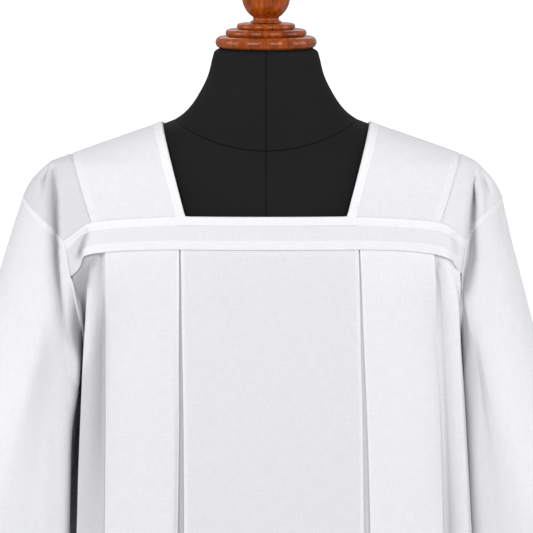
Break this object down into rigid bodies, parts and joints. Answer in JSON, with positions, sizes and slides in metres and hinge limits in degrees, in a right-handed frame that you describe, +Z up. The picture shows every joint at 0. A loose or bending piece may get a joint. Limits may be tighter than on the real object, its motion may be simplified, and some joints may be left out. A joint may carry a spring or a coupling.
{
  "type": "alb on a dress form",
  "caption": "White full-length vestment with a square neck, banded yoke and box pleats, standing on a limbless dress form with a turned cap and a round base.",
  "frame": {"origin": "centre of the underside of the stand's base, on the floor", "axes": "+Z up, the front of the garment faces -Y, the wearer's left is +X"},
  "size_m": [0.7903, 0.39, 1.6515],
  "materials": {
    "alb_cloth": "fine plain weave, matt, slightly see-through",
    "form_cover": "matt black jersey, closely fitted",
    "form_wood": "turned hardwood, orange-brown, glossy varnish",
    "form_metal": "satin steel tube"
  },
  "bodies": {
    "root": {"yoke_strap_left": "alb_cloth", "shoulder_panel_left": "alb_cloth", "sleeve_left": "alb_cloth", "yoke_strap_right": "alb_cloth", "shoulder_panel_right": "alb_cloth", "sleeve_right": "alb_cloth", "front_yoke_band": "alb_cloth", "back_yoke_band": "alb_cloth", "back_yoke": "alb_cloth", "neck_binding": "alb_cloth", "front_skirt": "alb_cloth", "back_skirt": "alb_cloth", "form_torso": "form_cover", "form_neck_cap": "form_wood", "form_finial": "form_wood", "form_socket": "form_wood", "form_pole": "form_metal", "form_base": "form_wood"}
  },
  "joints": []
}
